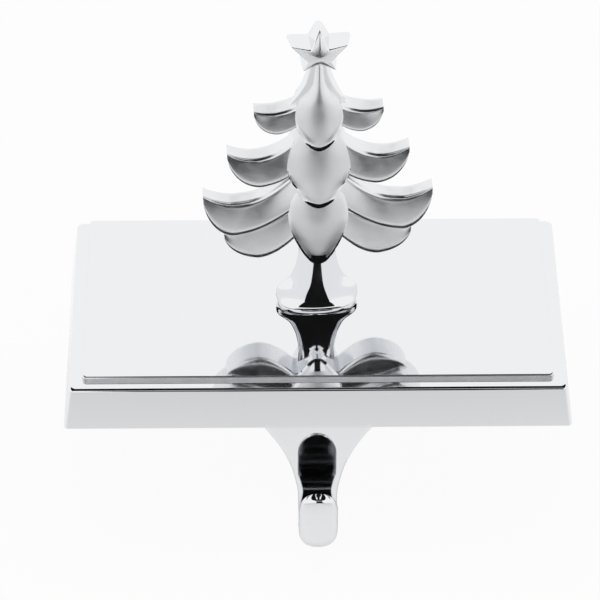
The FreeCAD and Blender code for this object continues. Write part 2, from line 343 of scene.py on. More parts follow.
# How far from an edge's round the extra outline lies that holds the flat face flat.
hold = 0.05


def lean(height):
    """How far the skirt has leant in at a height."""
    return skirt_flare * (height - skirt_foot) / (ledge_height - skirt_foot)


def skirt_ring(height, inset, back_inset=0.0):
    return rounded_plan(half_width - inset, front_face + inset, back_face - back_inset, skirt_corner, height)


def skirt_block():
    """Out of the recess for the felt, round the rim, up the skirt and over the shoulder to the ledge."""
    half = pad_high[0] / MM + felt_play
    front = pad_low[1] / MM - felt_play
    back = pad_high[1] / MM + felt_play
    rings = [rounded_plan(half + out, front - out, back + out, felt_recess_corner, height)
             for out, height in ((0.0, pad_high[2] / MM), (0.0, skirt_foot + hold), (hold, skirt_foot))]
    for inset in (rim_round + hold, rim_round):
        rings.append(skirt_ring(skirt_foot, inset, inset))
    for rise, inset in quarter_round(rim_round, 3, first=1):
        rings.append(skirt_ring(skirt_foot + rise, lean(skirt_foot + rise) + inset, inset))
    shoulder = ledge_height - shoulder_round
    for height in (skirt_foot + rim_round + hold, shoulder - hold, shoulder):
        rings.append(skirt_ring(height, lean(height)))
    for inset, below in quarter_round(shoulder_round, 8, first=1):
        rings.append(skirt_ring(ledge_height - below, lean(shoulder) + inset))
    rings.append(skirt_ring(ledge_height, lean(shoulder) + shoulder_round + hold))
    return skin(rings)


# %% Raised panel and the plinth
panel_corner = 1.0
panel_round = 0.35


def panel_ring(height, shrink=0.0):
    inset = skirt_flare + ledge_width
    return rounded_plan(half_width - inset - shrink, front_face + inset + shrink, back_face - shrink,
                        panel_corner, height)


def panel_block():
    """A slab with a fine round; its lowest wall, in the corner of the step, is left dull."""
    rings = [panel_ring(ledge_height), panel_ring(panel_top - panel_round - hold)]
    rings += [panel_ring(panel_top - below, shrink) for shrink, below in quarter_round(panel_round, 6)]
    rings.append(panel_ring(panel_top, panel_round + hold))
    mesh = skin(rings)
    for material in (polish, dull):
        mesh.materials.append(material)
    for face in mesh.polygons[:len(rings[0])]:
        face.material_index = 1
    return mesh


plinth_shells = [skirt_block(), panel_block()]
for shell in plinth_shells:
    finish_mesh(shell)
plinth = make_object("plinth", join_meshes("plinth", plinth_shells), (polish, dull))
print("plinth faces:", len(plinth.data.polygons))

# %% [markdown]
# ## A loft between two rails, as a Geometry Nodes tree
#
# The boughs, the petals and the hook look unlike each other, but a pattern maker would cut all three the
# same way: draw the two edges of the piece, then carry one cross-section along between them. This tree does
# just that. A grid has one row of points for each station along the rails, and one column for each point of
# the cross-section. Each grid point is moved to its place between the two rails, and out from their plane by
# the piece's half depth there, which the first rail carries as its radius.
#
# The cross-section is a small mesh in a unit square: x runs from -1 at the front to 1 at the back, and y
# from 0 at the first rail to 1 at the second. A second section can take over along the way, which is how the
# hook's flat plate becomes its rounded tongue.

# %% The loft tree
def loft_tree():
    tree = bpy.data.node_groups.new("loft between two rails", "GeometryNodeTree")
    tree.is_modifier = True
    sockets = (("Geometry", "NodeSocketGeometry"), ("First rail", "NodeSocketObject"),
               ("Second rail", "NodeSocketObject"), ("Section", "NodeSocketObject"),
               ("End section", "NodeSocketObject"), ("Blend from", "NodeSocketFloat"),
               ("Blend to", "NodeSocketFloat"), ("Stations", "NodeSocketInt"),
               ("Face centre", "NodeSocketFloat"), ("Face half width", "NodeSocketFloat"),
               ("Metal", "NodeSocketMaterial"), ("Face metal", "NodeSocketMaterial"))
    for name, kind in sockets:
        tree.interface.new_socket(name=name, in_out="INPUT", socket_type=kind)
    tree.interface.new_socket(name="Geometry", in_out="OUTPUT", socket_type="NodeSocketGeometry")
    given = add(tree, "NodeGroupInput").outputs

    section = add(tree, "GeometryNodeObjectInfo", {"Object": given["Section"]}).outputs["Geometry"]
    end_section = add(tree, "GeometryNodeObjectInfo", {"Object": given["End section"]}).outputs["Geometry"]
    count = add(tree, "GeometryNodeAttributeDomainSize", {"Geometry": section}, component="MESH")
    grid = add(tree, "GeometryNodeMeshGrid", {"Size X": 1.0, "Size Y": 1.0,
                                              "Vertices X": given["Stations"], "Vertices Y": count})
    across = add(tree, "ShaderNodeSeparateXYZ", {"Vector": grid.outputs["UV Map"]})
    along = across.outputs["X"]
    around = across.outputs["Y"]

    rails = []
    for name in ("First rail", "Second rail"):
        rail = add(tree, "GeometryNodeObjectInfo", {"Object": given[name]}).outputs["Geometry"]
        radius = add(tree, "GeometryNodeInputRadius")
        rails.append(add(tree, "GeometryNodeSampleCurve", {"Curves": rail, "Value": radius, "Factor": along},
                         mode="FACTOR", data_type="FLOAT", use_all_curves=False).outputs)
    first, second = rails

    # For vectors a Mix node takes its two values at inputs 4 and 5 and gives its result at output 1.
    last = add(tree, "ShaderNodeMath", {0: count, 1: 1.0}, operation="SUBTRACT")
    number = add(tree, "ShaderNodeMath", {0: around, 1: last}, operation="MULTIPLY")
    whole = add(tree, "ShaderNodeMath", {0: number}, operation="ROUND")
    place = add(tree, "GeometryNodeInputPosition")
    shapes = [add(tree, "GeometryNodeSampleIndex", {"Geometry": source, "Value": place, "Index": whole},
                  data_type="FLOAT_VECTOR", domain="POINT") for source in (section, end_section)]
    blend = add(tree, "ShaderNodeMapRange", {"Value": along, "From Min": given["Blend from"],
                                             "From Max": given["Blend to"]}, interpolation_type="SMOOTHSTEP")
    shape = add(tree, "ShaderNodeMix", {0: blend, 4: shapes[0], 5: shapes[1]}, data_type="VECTOR")
    share = add(tree, "ShaderNodeSeparateXYZ", {"Vector": shape.outputs[1]}).outputs

    between = add(tree, "ShaderNodeMix", {0: share["Y"], 4: first["Position"], 5: second["Position"]},
                  data_type="VECTOR")
    span = add(tree, "ShaderNodeVectorMath", {0: second["Position"], 1: first["Position"]},
               operation="SUBTRACT")
    cross = add(tree, "ShaderNodeVectorMath", {0: first["Tangent"], 1: span}, operation="CROSS_PRODUCT")
    outward = add(tree, "ShaderNodeVectorMath", {0: cross}, operation="NORMALIZE")
    depth = add(tree, "ShaderNodeMath", {0: share["X"], 1: first["Value"]}, operation="MULTIPLY")
    swell = add(tree, "ShaderNodeVectorMath", {0: outward, "Scale": depth}, operation="SCALE")
    target = add(tree, "ShaderNodeVectorMath", {0: between.outputs[1], 1: swell}, operation="ADD")
    moved = add(tree, "GeometryNodeSetPosition", {"Geometry": grid, "Position": target})

    centred = add(tree, "ShaderNodeMath", {0: around, 1: 0.5}, operation="SUBTRACT")
    mirrored = add(tree, "ShaderNodeMath", {0: centred}, operation="ABSOLUTE")
    folded = add(tree, "ShaderNodeMath", {0: 0.5, 1: mirrored}, operation="SUBTRACT")
    on_face = add(tree, "ShaderNodeMath", {0: folded, 1: given["Face centre"], 2: given["Face half width"]},
                  operation="COMPARE")
    whole_mesh = add(tree, "GeometryNodeRealizeInstances", {"Geometry": moved})
    plated = add(tree, "GeometryNodeSetMaterial", {"Geometry": whole_mesh, "Material": given["Metal"]})
    faced = add(tree, "GeometryNodeSetMaterial", {"Geometry": plated, "Selection": on_face,
                                                  "Material": given["Face metal"]})
    add(tree, "NodeGroupOutput", {"Geometry": faced})
    return tree


loft = loft_tree()
print("loft tree nodes:", len(loft.nodes))

# %% [markdown]
# The tree reads its rails and sections from helper objects. Each rail is a chain of many points on a smooth
# curve through a few chosen ones, since a mirror shows every kink between sparse points. When a piece has
# been lofted, its helpers are deleted.

# %% Smooth curves and rails
def curve_through(rows, between=8):
    """More rows on a smooth curve through the given rows of numbers."""
    dense = []
    for index in range(len(rows) - 1):
        before = Vector(rows[max(index - 1, 0)])
        start = Vector(rows[index])
        end = Vector(rows[index + 1])
        after = Vector(rows[min(index + 2, len(rows) - 1)])
        for step in range(between):
            t = step / between
            dense.append(0.5 * ((2 * start) + (end - before) * t
                                + (2 * before - 5 * start + 4 * end - after) * t ** 2
                                + (3 * start - before - 3 * end + after) * t ** 3))
    dense.append(Vector(rows[-1]))
    return dense


def dense_rail(rows):
    """A chain through many rows of x, y, z and half depth, in mm."""
    data = bpy.data.curves.new("rail", "CURVE")
    data.dimensions = "3D"
    spline = data.splines.new("POLY")
    spline.points.add(len(rows) - 1)
    for knot, (x, y, z, depth) in zip(spline.points, rows):
        knot.co = (x * MM, y * MM, z * MM, 1.0)
        knot.radius = depth * MM
    return make_object("rail", data)


# %% Sections and the loft itself
def outline(points):
    """A cross-section in the unit square, as a chain of vertices that ends where it starts."""
    mesh = bpy.data.meshes.new("section")
    closed = list(points) + [points[0]]
    mesh.from_pydata([(x, y, 0.0) for x, y in closed], [(i, i + 1) for i in range(len(closed) - 1)], [])
    return make_object("section", mesh)


def loft_between(name, rails, sections, stations, blend, face=(9.0, 0.0), metals=(polish, satin)):
    """Run the tree, turn its result into a plain mesh, close its two ends and remove the helpers.

    The face is the band of the section that gets the second metal: its centre and its half width, counted
    from both ends of the outline towards its middle at 0.5. By default there is none.
    """
    carrier = make_object(name, bpy.data.meshes.new(name))
    modifier = carrier.modifiers.new("loft", "NODES")
    modifier.node_group = loft
    values = {"First rail": rails[0], "Second rail": rails[1], "Section": sections[0],
              "End section": sections[1], "Blend from": blend[0], "Blend to": blend[1], "Stations": stations,
              "Face centre": face[0], "Face half width": face[1], "Metal": metals[0], "Face metal": metals[1]}
    for item in loft.interface.items_tree:
        if item.in_out == "INPUT" and item.name in values:
            modifier[item.identifier] = values[item.name]
    evaluated = carrier.evaluated_get(bpy.context.evaluated_depsgraph_get())
    mesh = bpy.data.meshes.new_from_object(evaluated)
    for helper in (carrier, *rails, *sections):
        bpy.data.objects.remove(helper)
    leaks = finish_mesh(mesh)
    if leaks:
        print(name, "has open or doubled edges:", leaks)
    return mesh


# %% [markdown]
# ## Hook
#
# The hook is one strip. It leaves the skirt's foot wide, with concave sides, narrows to a strip, bends
# forward and up, and ends in a rounded tongue. Both rails run along the edges of its inner face. At the
# root the cross-section is a flat bar with lightly broken edges. In the bend a crowned section takes over.
# The bend has a row of points for every degree, because its mirrored lines run close together there.

# %% Hook sizes
hook_thickness = 3.3
hook_gap = 10.5
hook_width = 10.9
hook_root_width = 29.8
root_rise = 1.0
root_proud = 0.01
tongue_height = 24.5
tongue_tip_length = 7.0
tongue_tip_thickness = 1.3
# The strip is a little narrower from 60 to 190 degrees round the bend.
bend_pinch = 1.2
pinch_start = 60
pinch_turn = 130
hook_foot = base_low[2] / MM
bend_radius = hook_gap / 2
bend_height = hook_foot + hook_thickness + bend_radius
half_strip = hook_width / 2
half_root = hook_root_width / 2
tongue_face = front_face - hook_gap
print("hook hangs to %.1f mm, bend centre at %.1f mm" % (hook_foot, bend_height))


# %% Hook rails
# The plate's side, from the skirt down to the strip, as shares of the way out and of the way up.
root_curve = ((1.0, 1.0), (0.8, 0.898), (0.55, 0.757), (0.36, 0.619), (0.206, 0.478), (0.095, 0.323),
              (0.015, 0.16), (0.0, 0.0))


def hook_rail(side):
    """Down the plate's concave side, round the bend, up the front leg and round the tongue's tip."""
    inside_skirt = skirt_foot + root_rise
    rows = [(half_root + 0.5 * root_rise, front_face + lean(inside_skirt) - root_proud, inside_skirt,
             hook_thickness)]
    plate = [(half_strip + (half_root - half_strip) * out, bend_height + (skirt_foot - bend_height) * up)
             for out, up in root_curve]
    rows += [(half, front_face, height, hook_thickness) for half, height in curve_through(plate)]
    for degrees, (cosine, sine) in enumerate(arc(range(1, 181)), 1):
        pinch = math.sin(math.pi * min(max((degrees - pinch_start) / pinch_turn, 0), 1)) ** 2
        rows.append((half_strip - bend_pinch * pinch, front_face - bend_radius * (1 - cosine),
                     bend_height - bend_radius * sine, hook_thickness))
    tip_start = hook_foot + tongue_height - tongue_tip_length
    for share in (0.25, 0.5, 0.75):
        height = bend_height + (tip_start - bend_height) * share
        rows.append((half_strip, tongue_face, height, hook_thickness))
    for cosine, sine in arc(range(0, 86)):
        thinning = (hook_thickness - tongue_tip_thickness) * (1 - cosine)
        rows.append((half_strip * cosine, tongue_face - thinning / 2, tip_start + tongue_tip_length * sine,
                     hook_thickness - thinning))
    return dense_rail([(side * half, y, z, depth) for half, y, z, depth in rows])


# %% Hook sections
# The broken edge is a share of the thickness in x, and of the width in y.
chamfer = 0.09
slim = chamfer * hook_thickness / hook_width
crown_start = 0.28


def bar_like(flank, face):
    """From the middle of the inner face, up one flank, over the outer face and down the other flank."""
    return [(0, 0.5)] + flank + face + [(x, 1 - y) for x, y in reversed(flank)]


def bar_section():
    """A flat bar, x from 0 on the inner face to 1 on the outer one, with broken edges."""
    flank = [(0, 2.2 * slim), (0, slim), (chamfer, 0), (2 * chamfer, 0), (1 - 2 * chamfer, 0),
             (1 - chamfer, 0), (1, slim), (1, 2.2 * slim)]
    return bar_like(flank, [(1, 2.2 * slim + (1 - 4.4 * slim) * step / 10) for step in range(1, 10)])


def crown_section():
    """The same number of points, with the outer face crowned from one edge to the other."""
    flank = [(0, 2.2 * slim), (0, slim), (chamfer, 0), (0.5 * crown_start, 0), (crown_start, 0)]
    turns = [math.pi * step / 16 for step in range(1, 16)]
    return bar_like(flank, [(crown_start + (1 - crown_start) * math.sin(turn) ** 0.9,
                             0.5 - 0.5 * math.cos(turn)) for turn in turns])


print("bar and crown points:", len(bar_section()), len(crown_section()))

# %% The hook and the painted shade in its recess
hook_mesh = loft_between("hook", (hook_rail(1), hook_rail(-1)),
                         (outline(bar_section()), outline(crown_section())), stations=220, blend=(0.5, 0.68))
hook_mesh.materials.append(painted_recess_shade)
# The painted shade covers the inside of the bend and, above it, the tongue's back. These are its margins in
# mm, and the normal's y below which a face looks forward, away from the recess.
behind_tongue = 0.6
before_plate = 1.0
off_bend = 0.05
looks_forward = -0.35
for face in hook_mesh.polygons:
    _, y, z = face.center / MM
    if z > bend_height:
        in_painted_shade = tongue_face - behind_tongue < y < front_face - before_plate
    else:
        in_painted_shade = math.hypot(y - front_face + bend_radius, z - bend_height) < bend_radius + off_bend
    # Faces in the recess get the darker chrome, which is painted shade.
    if in_painted_shade and face.normal.y > looks_forward:
        face.material_index = len(hook_mesh.materials) - 1
hook = make_object("hook", hook_mesh)
print("hook faces:", len(hook.data.polygons))

# %% [markdown]
# ## Tree: the frame of the casting
#
# The tree is modelled in its own plane: x to the right, z up from its foot, and y into its depth. At the end
# everything is turned by the three degrees by which the real tree stands askew on its screw, and set on the
# plinth. Boughs and petals have the same form at the back as at the front.

# %% Placing the tree
tree_turn = math.radians(3.0)
tree_setback = 1.8
tree_place = (Matrix.Translation(Vector((0.0, tree_setback, panel_top)) * MM)
              @ Matrix.Rotation(tree_turn, 4, "Z"))


def tree_piece(name, shells, finishes):
    """Shells joined into one piece, turned and set on the plinth."""
    mesh = join_meshes(name, shells)
    mesh.transform(tree_place)
    print(name, "faces:", len(mesh.polygons))
    return make_object(name, mesh, finishes)


# %% [markdown]
# ## Boughs
#
# Four pairs of boughs leave the middle and turn up at their tips, like the horns of a shallow dish. On top
# they are flat and polished. Their fronts are full and half satin, and they lean back a little, the lower
# tiers more, which sets how much of the dark places each tier mirrors. The lower rail runs from the root down
# to the lowest point and then up round a quarter of an ellipse to the tip, which gives the blunt, rounded
# end.

# %% Bough table
# Points as place, height; lean is the angle in degrees by which the front leans back.
boughs = [
    dict(root=(7.2, 72.2), dip=(12.5, 70.6), tip=(17.3, 71.1), low=(11.0, 64.0), join=(6.3, 66.0),
         depth=3.5, lean=7.0),
    dict(root=(5.8, 61.5), dip=(16.3, 54.8), tip=(24.6, 57.0), low=(15.6, 45.7), join=(8.2, 48.6),
         depth=3.9, lean=9.0),
    dict(root=(9.7, 45.2), dip=(21.9, 39.0), tip=(31.3, 41.9), low=(22.9, 28.4), join=(8.0, 36.0),
         depth=3.9, lean=11.5),
    dict(root=(6.0, 37.0), dip=(16.0, 31.2), tip=(25.8, 27.9), low=(15.8, 19.6), join=(6.5, 26.3),
         depth=3.7, lean=15.0),
]
bough_start = 2.0
bough_tip_depth = 2.2
bough_tip_height = 0.5


def through_three(points, place):
    """Height at a place on the parabola through three (place, height) points."""
    total = 0.0
    for own, height in points:
        for other, _ in points:
            if other != own:
                height *= (place - other) / (own - other)
        total += height
    return total


# %% Bough stations
def bough_stations(row):
    """Places along the bough, with the lower and the upper edge's height and the half depth there."""
    low_place, low_height = row["low"]
    join_place, join_height = row["join"]
    tip_place, tip_height = row["tip"]
    stations = []
    for share in (1.0, 0.75, 0.5, 0.25):
        place = low_place + (bough_start - low_place) * share
        reach = (low_place - place) / (low_place - join_place)
        stations.append((place, low_height + (join_height - low_height) * reach ** 1.7, row["depth"]))
    for cosine, sine in arc((0, 15, 30, 45, 60, 72, 81)):
        stations.append((low_place + (tip_place - low_place) * sine,
                         tip_height - (tip_height - low_height) * cosine,
                         bough_tip_depth + (row["depth"] - bough_tip_depth) * cosine))
    upper = (row["root"], row["dip"], row["tip"])
    return [(place, height, max(through_three(upper, place), height + bough_tip_height), depth)
            for place, height, depth in stations]


# %% Bough section
# Shares of the half depth in x and of the bough's height in y: where the crease's round and the lower round
# start, and how far the two reach.
crease_start = 0.86
crease_reach = 0.3
flat_reach = 0.42
lower_start = 0.15
lower_reach = 0.34
lower_drop = 0.2


def bough_section(lean_share):
    """Flat above and below; the front leans back, by a share of the half depth, up to its rounded crease."""
    crease_x = lean_share - 1.0
    front = [(0.0, 1.0), (crease_x + flat_reach, 1.0)]
    front += [(crease_x + crease_reach * (1 - cosine), crease_start + (1 - crease_start) * sine)
              for cosine, sine in arc((90, 75, 60, 45, 30, 15, 0))]
    for share in (0.89, 0.76, 0.62, 0.48, 0.35, 0.22, 0.1):
        front.append((-1.0 + lean_share * share ** 1.15, lower_start + (crease_start - lower_start) * share))
    front += [(-1.0 + lower_reach * (1 - cosine), lower_start - lower_drop * sine)
              for cosine, sine in arc((0, 10, 20, 32, 44, 56, 68, 80))]
    front += [(-0.5, lower_start - lower_drop), (0.0, lower_start - lower_drop)]
    return front + [(-x, y) for x, y in reversed(front[1:-1])]


# %% All eight boughs
front_share = 0.74
largest_lean_share = 0.5
tip_lean_share = 0.85


def bough_mesh(row, side):
    """The lean is an angle, so its share of the depth is larger at the tall root than at the low tip."""
    stations = bough_stations(row)
    _, height, top, depth = stations[0]
    slope = math.tan(math.radians(row["lean"]))
    root = outline(bough_section(min(front_share * slope * (top - height) / depth, largest_lean_share)))
    tip = outline(bough_section(tip_lean_share * slope))
    rows = curve_through(stations)
    lower = dense_rail([(side * place, 0.0, height, depth) for place, height, _, depth in rows])
    upper = dense_rail([(side * place, 0.0, top, depth) for place, _, top, depth in rows])
    return loft_between("bough", (lower, upper), (root, tip), stations=84, blend=(0.0, 1.0),
                        face=(0.24, 0.075), metals=(polish, half_satin))


bough_shells = [bough_mesh(row, side) for row in boughs for side in (-1, 1)]
boughs_piece = tree_piece("boughs", bough_shells, (polish, half_satin))

# %% [markdown]
# ## Petals
#
# Three petals lie on the tree's middle line and overlap like scales. Each is full in its middle and has an
# upright wall round its edge. Along the V at its lower end the satin stops, and a rim buffed to a mirror
# follows the edge. On the two upper petals that rim falls back a little and shows as a black line. The
# lowest petal curls in instead and has a mirror tip. The rails are each petal's left and right edges, from
# the top, where the next petal hides it, to the tip.

# %% Petal table
# Edge points as place, height, with the half depth at each. Then the buffed rim's width and how far it falls
# back for each mm, the depth of the round at the edge, the share of the way down at which the front has gone
# flat, and the height of the mirror tip.
tip_half_width = 2.1
upper_rim = dict(rim=2.0, fall=0.24, wall=0.05, flat_at=0.86, polished_tip=0.0)
petals = [
    dict(edge=[(0.8, 89.5), (1.5, 81.5), (2.9, 78.0), (5.4, 74.2), (6.4, 70.2), (5.7, 66.2), (4.5, 64.0),
               (3.4, 62.1), (2.5, 60.95), (1.5, 60.1), (0.7, 59.75), (0.2, 59.65)],
         depths=[1.9, 3.5, 4.25, 5.0, 5.65, 6.0, 6.08, 6.08, 6.08, 6.08, 6.08, 6.08],
         **upper_rim),
    dict(edge=[(3.0, 66.0), (5.6, 62.8), (7.7, 57.5), (8.5, 51.6), (7.2, 47.4), (5.6, 44.7), (3.9, 42.3),
               (2.7, 41.0), (1.6, 40.15), (0.7, 39.8), (0.2, 39.7)],
         depths=[3.6, 4.5, 5.7, 6.45, 6.7, 6.74, 6.74, 6.74, 6.74, 6.74, 6.74],
         **upper_rim),
    dict(edge=[(3.0, 46.5), (5.8, 43.8), (7.5, 40.0), (8.2, 35.0), (7.6, 30.6), (6.3, 26.6), (4.5, 23.1),
               (3.2, 21.0), (2.3, 19.6), (1.4, 18.8), (0.7, 18.5), (0.2, 18.4)],
         depths=[3.7, 4.6, 5.6, 6.42, 6.76, 6.84, 6.72, 6.2, 5.82, 5.62, 5.54, 5.52],
         rim=1.4, fall=0.0, wall=0.14, flat_at=1.0, polished_tip=4.2),
]


# %% Petal section
def petal_section(edge_share, crown, deep, power):
    """From the left wall over the edge's round and the crowned front to the right wall, and back behind."""
    shoulder = 1.0 - crown
    front = [(0.0, 0.0), (-0.35, 0.0)]
    for share in (0.0, 0.06, 0.17, 0.34, 0.56, 0.8):
        front.append((deep * (1 - share) ** power - shoulder, edge_share * share))
    steps = 22
    for step in range(1, steps):
        across = -1.0 + 2.0 * step / steps
        front.append((-shoulder - crown * (1.0 - across ** 2), 0.5 + (0.5 - edge_share) * across))
    front += [(x, 1.0 - y) for x, y in reversed(front[:8])]
    return front + [(-x, y) for x, y in reversed(front[1:-1])]


def edge_height(points, place):
    """Height of the V's edge at a place."""
    widest = max(range(len(points)), key=lambda index: points[index][0])
    for (out, high), (near, low) in zip(points[widest:], points[widest + 1:]):
        if near <= place <= out:
            return low + (high - low) * (place - near) / (out - near)
    return points[-1][1]


# %% All three petals
front_depth = 2.5


def petal_mesh(row):
    """Crowned above, with a rounded edge; flat towards the tip, where the buffed rim follows the edge."""
    points = row["edge"]
    full = outline(petal_section(edge_share=0.055, crown=0.22, deep=row["wall"], power=1.3))
    flat = outline(petal_section(edge_share=0.26, crown=0.0, deep=0.0, power=1.0))
    rows = curve_through([(place, height, depth) for (place, height), depth in zip(points, row["depths"])])
    rails = [dense_rail([(side * place, 0.0, height, depth) for place, height, depth in rows])
             for side in (-1, 1)]
    mesh = loft_between("petal", rails, (full, flat), stations=120, blend=(0.6, row["flat_at"]),
                        face=(0.25, 0.146))
    for vertex in mesh.vertices:
        place, depth, height = vertex.co / MM
        above = max(height - edge_height(points, abs(place)), 0.0)
        if above < row["rim"] and abs(depth) > front_depth:
            vertex.co.y -= math.copysign(row["fall"] * (row["rim"] - above), depth) * MM
    for face in mesh.polygons:
        place, _, height = face.center / MM
        on_tip = height < points[-1][1] + row["polished_tip"] and abs(place) < tip_half_width
        if on_tip or height < edge_height(points, abs(place)) + row["rim"]:
            face.material_index = 0
    return mesh


petals_piece = tree_piece("petals", [petal_mesh(row) for row in petals], (polish, satin))

# %% [markdown]
# ## Trunk and cone
#
# The trunk is oval in cross-section. It stands on an oval rim, widens like the bell of a horn turned down on
# to it, and runs on behind the petals. A concave cone above the topmost boughs carries the star. Both are
# stacks of ovals.

# %% Ovals
def oval(height, half_width, half_depth, fin, steps=72):
    """An oval; a positive fin share keeps its middle narrow, and a negative one flattens its front."""
    points = []
    for step in range(steps):
        turn = 2 * math.pi * step / steps
        side = math.cos(turn)
        points.append(Vector((half_width * ((1 - fin) * side + fin * side ** 3),
                              half_depth * math.sin(turn), height)) * MM)
    return points


def smooth_stack(rows):
    """Ovals on a smooth curve through rows of height, half width, half depth and fin share."""
    return [oval(*row) for row in curve_through(rows)]


# %% Trunk and cone
tree_rim_width = 11.0
tree_rim_depth = 5.8
tree_rim_height = 0.75
tree_rim_round = 0.25
tree_rim_fin = -0.25
broken_edge = 0.1


def trunk_mesh():
    """At the sides the flare curls out early, like a bell. In front it runs out flat on to the rim."""
    places = [(0.0, broken_edge), (broken_edge, 0.0)]
    places += [(tree_rim_height - below, inset) for inset, below in quarter_round(tree_rim_round, 5)]
    rings = [oval(height, tree_rim_width - inset, tree_rim_depth - inset, tree_rim_fin)
             for height, inset in places]
    flare = [(0.77, 10.7, 5.52, -0.3), (0.85, 10.85, 5.38, -0.31), (1.0, 11.0, 5.2, -0.3),
             (1.25, 11.15, 4.98, -0.24), (1.65, 11.3, 4.72, -0.14), (2.3, 11.4, 4.44, 0.02),
             (3.2, 11.4, 4.19, 0.18), (4.2, 11.3, 4.0, 0.27), (5.2, 10.9, 3.88, 0.31),
             (6.0, 10.2, 3.81, 0.3), (6.8, 9.25, 3.76, 0.26), (8.0, 8.1, 3.69, 0.21), (9.8, 7.1, 3.58, 0.18),
             (13.0, 6.0, 3.39, 0.15), (16.5, 5.35, 3.19, 0.16), (19.3, 5.1, 3.05, 0.17),
             (31.0, 5.4, 3.2, 0.15), (48.0, 6.1, 3.4, 0.1), (62.0, 5.6, 3.3, 0.05), (73.0, 5.4, 3.2, 0.0)]
    return skin(rings + smooth_stack(flare))


def cone_mesh():
    return skin(smooth_stack([(70.0, 9.6, 1.0, 0.0), (71.2, 8.6, 1.3, 0.0), (72.5, 7.6, 1.6, 0.0),
                              (74.4, 6.6, 2.1, 0.0), (78.0, 5.0, 2.5, 0.0), (82.0, 3.6, 2.4, 0.0),
                              (86.0, 2.8, 2.1, 0.0), (90.0, 2.4, 1.9, 0.0)]))


# %% [markdown]
# ## Star
#
# The star is thick and soft behind, with fat rounded arms. In front it narrows to a crisp star whose middle
# bulges forward and whose five tips lean back. Its outlines are stacked and bridged like the plinth's, but
# each outline has one depth at its tips and another in its notches.

# %% Star outlines
star_middle = 91.5
star_front_depth = -5.05
star_back_depth = 2.2
star_peak_behind = 2.9
# Corners of the right half as place, depth, height: top tip, notch, side tip, notch, lower tip, lower notch.
star_front = [(0.0, -2.8, 99.05), (2.3, -4.5, 93.4), (7.3, -3.4, 93.9), (3.0, -4.5, 89.6), (4.3, -3.4, 85.7),
              (0.0, -4.5, 88.9)]
star_back = [(place, star_back_depth, height) for place, height in (
    (0.0, 99.55), (2.9, 93.5), (9.8, 93.9), (3.9, 89.6), (5.7, 84.6), (0.0, 88.3))]
# Where the front face starts: sizes of the outline at its tips and in its notches.
front_size = 0.935
front_notch_size = 0.9
sharpest_notch = 0.5


def star_outline(share, size, notch_size, rounding, push=0.0, steps=5):
    """Between the soft star behind (share 0) and the crisp one in front (1), drawn in and pushed back."""
    half = []
    for index, (behind, ahead) in enumerate(zip(star_back, star_front)):
        corner = Vector(behind).lerp(Vector(ahead), share)
        around = Vector((0.0, corner.y, star_middle))
        reach, full = (notch_size, front_notch_size) if index % 2 else (size, front_size)
        corner = around + (corner - around) * reach + Vector((0.0, push, 0.0))
        if share == 1.0:
            corner.y = star_front_depth + (corner.y - star_front_depth) * min(reach / full, 1.0) ** 1.5
        half.append(corner)
    mirrored = [Vector((-corner.x, corner.y, corner.z)) for corner in half[1:5]]
    corners = [half[0]] + mirrored + [half[5]] + half[4:0:-1]
    points = []
    for index, corner in enumerate(corners):
        reach = min(rounding, sharpest_notch) if index % 2 else rounding
        before = (corners[index - 1] - corner).normalized() * reach
        after = (corners[(index + 1) % 10] - corner).normalized() * reach
        for step in range(steps + 1):
            t = step / steps
            points.append(((corner + before) * (1 - t) ** 2 + corner * 2 * t * (1 - t)
                           + (corner + after) * t ** 2) * MM)
    return points


# %% Star
# Share of the way to the front, size at the tips, size in the notches, rounding of the tips and, for the
# rounded back, push. The body is polished, and the face in front is half satin.
star_body = [
    (0.0, 0.84, 0.80, 2.0, 0.65), (0.0, 0.93, 0.92, 2.6, 0.55), (0.0, 0.98, 0.98, 3.0, 0.3),
    (0.0, 1.0, 1.0, 3.1), (0.25, 1.0, 1.0, 2.4), (0.5, 1.0, 1.0, 1.6), (0.75, 1.0, 1.0, 0.9),
    (0.9, 1.0, 1.0, 0.5), (0.95, 0.995, 0.995, 0.42), (0.98, 0.982, 0.98, 0.36), (0.99, 0.962, 0.95, 0.3),
]
star_face = [
    (1.0, front_size, front_notch_size, 0.26), (1.0, 0.86, 0.87, 0.3), (1.0, 0.75, 0.82, 0.35),
    (1.0, 0.62, 0.76, 0.4), (1.0, 0.5, 0.68, 0.4), (1.0, 0.37, 0.56, 0.35), (1.0, 0.24, 0.40, 0.25),
    (1.0, 0.12, 0.22, 0.12),
]


def star_mesh():
    outlines = [star_outline(*row) for row in star_body + star_face]
    peaks = [[Vector((0.0, depth, star_middle)) * MM] for depth in (star_peak_behind, star_front_depth)]
    mesh = skin(peaks[:1] + outlines + peaks[1:])
    for material in (polish, half_satin):
        mesh.materials.append(material)
    for face in mesh.polygons[(len(star_body) + 1) * len(outlines[0]):]:
        face.material_index = 1
    return mesh


column_shells = [trunk_mesh(), cone_mesh(), star_mesh()]
for shell in column_shells:
    print("open or doubled edges:", finish_mesh(shell, smooth_below=40.0))
trunk_piece = tree_piece("trunk_and_star", column_shells, (polish, half_satin))

# %% [markdown]
# ## Felt and fixings
#
# The felt is a die-cut sheet. Its cut edge is slightly rolled by the die, and its corners are barely
# rounded. The screw and washer sit in the hollow above it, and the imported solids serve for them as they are.

# %% Felt
def felt_mesh():
    roll = 0.3
    corner = 0.8
    half, front, back, top = (value / MM for value in (pad_high[0], pad_low[1], pad_high[1], pad_high[2]))
    rings = [rounded_plan(half - inset, front + inset, back - inset, corner, rise)
             for rise, inset in quarter_round(roll, 4)]
    rings.append(rounded_plan(half, front, back, corner, top))
    return skin(rings)


felt_shell = felt_mesh()
finish_mesh(felt_shell, smooth_below=50.0)
felt_piece = make_object("felt_sheet", felt_shell, (felt,))
print("felt faces:", len(felt_shell.polygons))

